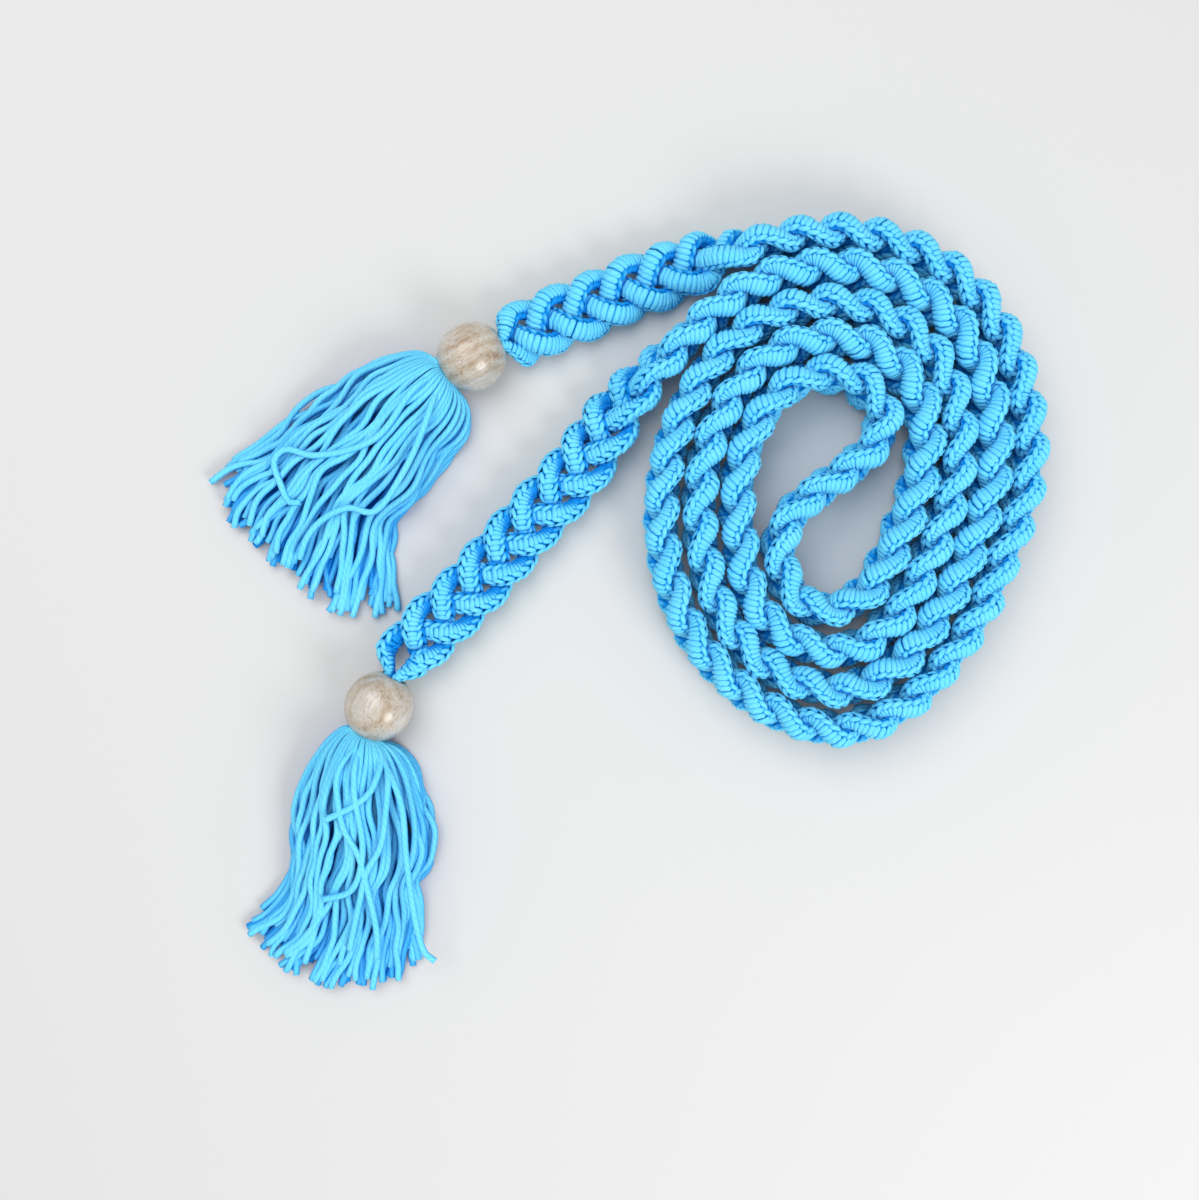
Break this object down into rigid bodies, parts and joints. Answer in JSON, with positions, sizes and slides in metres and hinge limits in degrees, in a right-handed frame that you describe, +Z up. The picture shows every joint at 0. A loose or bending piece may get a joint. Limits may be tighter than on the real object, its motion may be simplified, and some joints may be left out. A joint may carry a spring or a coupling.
{
  "type": "plaited rope belt",
  "caption": "Plaited crochet rope belt, coiled flat, with a round wooden bead and a yarn tassel at each end; worn tied around the waist.",
  "frame": {"origin": "on the surface the belt lies on, under the middle of its outline", "axes": "+Z up from the surface; +X from the tassels towards the coil; +Y completes the right-handed frame, from the second bead towards the first"},
  "size_m": [0.321, 0.2986, 0.0269],
  "materials": {
    "yarn": "matt crocheted cotton",
    "wood": "satin, lightly varnished"
  },
  "bodies": {
    "root": {"strand_1": "yarn", "strand_2": "yarn", "strand_3": "yarn", "bead_1": "wood", "tassel_1": "yarn", "bead_2": "wood", "tassel_2": "yarn"}
  },
  "joints": []
}
